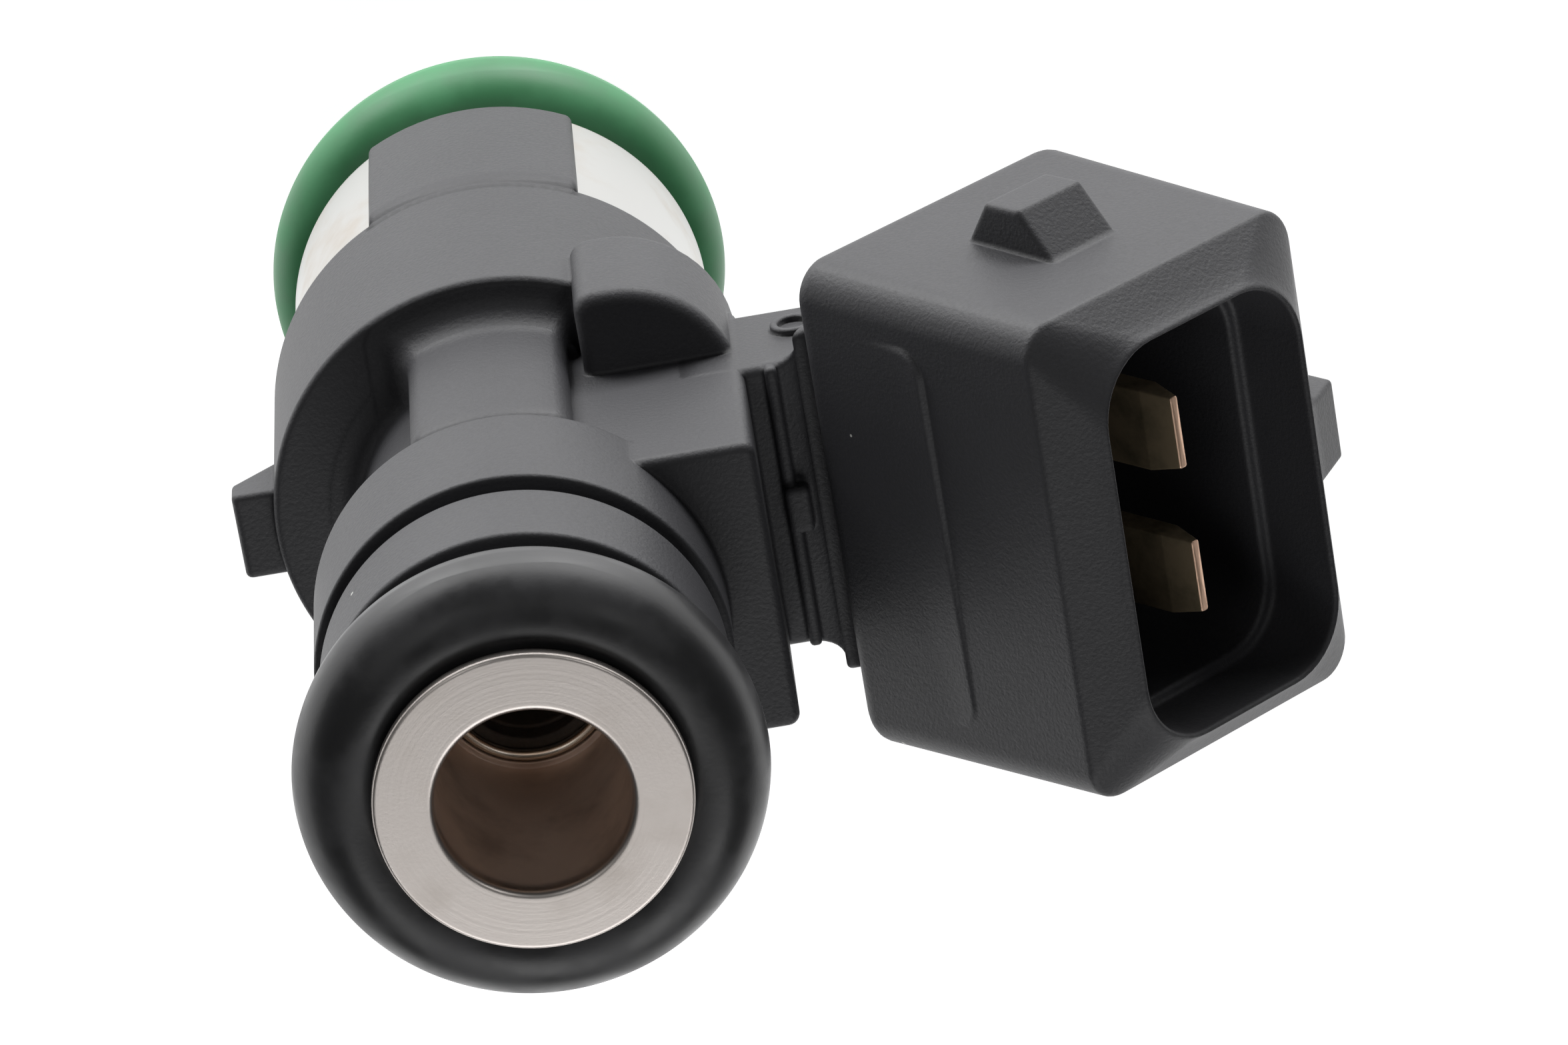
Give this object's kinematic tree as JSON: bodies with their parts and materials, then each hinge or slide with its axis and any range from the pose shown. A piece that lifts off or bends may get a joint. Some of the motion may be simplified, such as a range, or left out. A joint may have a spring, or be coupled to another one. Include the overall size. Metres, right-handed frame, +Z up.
{
  "type": "fuel injector",
  "caption": "Solenoid fuel injector: ringed steel inlet tube, plastic overmould with a leaning socket, steel coil can and ringed nozzle; a ball valve inside lifts a tenth of a millimetre.",
  "frame": {"origin": "on the fuel axis at the end face of the steel nozzle tip", "axes": "+Z up the fuel axis from the nozzle to the inlet; +X from the axis towards the electrical socket; the XZ plane is the plane of symmetry"},
  "size_m": [0.0361, 0.0198, 0.051],
  "materials": {
    "moulding": "matte, fine grain",
    "inlet_steel": "satin",
    "black_rubber": "smooth, slightly shiny",
    "filter_brass": "satin",
    "filter_plastic": "matte",
    "filter_nylon": "fine weave",
    "bright_steel": "satin",
    "core_steel": "turned",
    "ball_steel": "polished",
    "valve_steel": "turned",
    "bobbin_plastic": "matte",
    "winding_copper": "enamelled",
    "housing_steel": "satin",
    "terminal_bronze": "stamped, tarnished",
    "green_rubber": "smooth",
    "retainer_plastic": "matte"
  },
  "bodies": {
    "injector_body": {"overmould": "moulding", "inlet_tube": "inlet_steel", "inlet_o_ring": "black_rubber", "filter_ring": "filter_brass", "filter_frame": "filter_plastic", "filter_mesh": "filter_nylon", "adjusting_sleeve": "bright_steel", "pole_piece": "core_steel", "return_spring": "bright_steel", "nonmagnetic_ring": "bright_steel", "guide_disc": "bright_steel", "seat_body": "bright_steel", "orifice_plate": "bright_steel", "valve_body": "valve_steel", "coil_bobbin": "bobbin_plastic", "coil_winding": "winding_copper", "flux_washer": "core_steel", "coil_housing": "housing_steel", "terminal_upper": "terminal_bronze", "terminal_lower": "terminal_bronze", "nozzle_o_ring": "green_rubber", "o_ring_retainer": "retainer_plastic"},
    "valve_needle": {"armature": "core_steel", "needle_tube": "bright_steel", "valve_ball": "ball_steel"}
  },
  "joints": [
    {"name": "needle_lift", "type": "slide", "parent": "injector_body", "child": "valve_needle", "axis": [0, 0, 1], "range_m": [0, 0.0001], "stiffness_N_per_m": 100, "springref_m": -0.0015, "deforming": ["return_spring"]}
  ]
}
